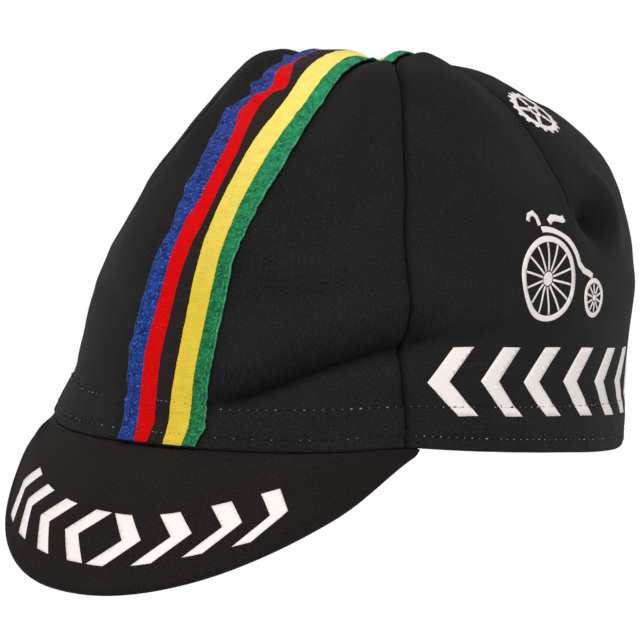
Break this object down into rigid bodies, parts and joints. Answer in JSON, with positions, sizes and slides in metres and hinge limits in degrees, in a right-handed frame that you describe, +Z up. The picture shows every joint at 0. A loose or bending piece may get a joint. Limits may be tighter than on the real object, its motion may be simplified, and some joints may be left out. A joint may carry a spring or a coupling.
{
  "type": "cycling cap",
  "caption": "Soft cotton cycling cap with a panelled crown, a striped ribbon sewn over the top from front to back, and a short curved peak that slopes down in front",
  "frame": {"origin": "Middle of the head opening, in the plane of the front and side rim, where the cap sits round the head.", "axes": "+Z up out of the crown, -Y forward along the middle of the peak, +X to the wearer's left."},
  "size_m": [0.158, 0.2449, 0.1492],
  "materials": {
    "crown_cloth": "washed black cotton twill, matt",
    "peak_cloth": "washed black cotton twill over a stiff card, matt, with a white print",
    "striped_ribbon": "woven ribbon in blue, red, dark, yellow and green stripes, slight sheen"
  },
  "bodies": {
    "root": {"front_left_panel": "crown_cloth", "front_right_panel": "crown_cloth", "rear_left_panel": "crown_cloth", "rear_right_panel": "crown_cloth", "ribbon": "striped_ribbon", "peak": "peak_cloth"}
  },
  "joints": []
}
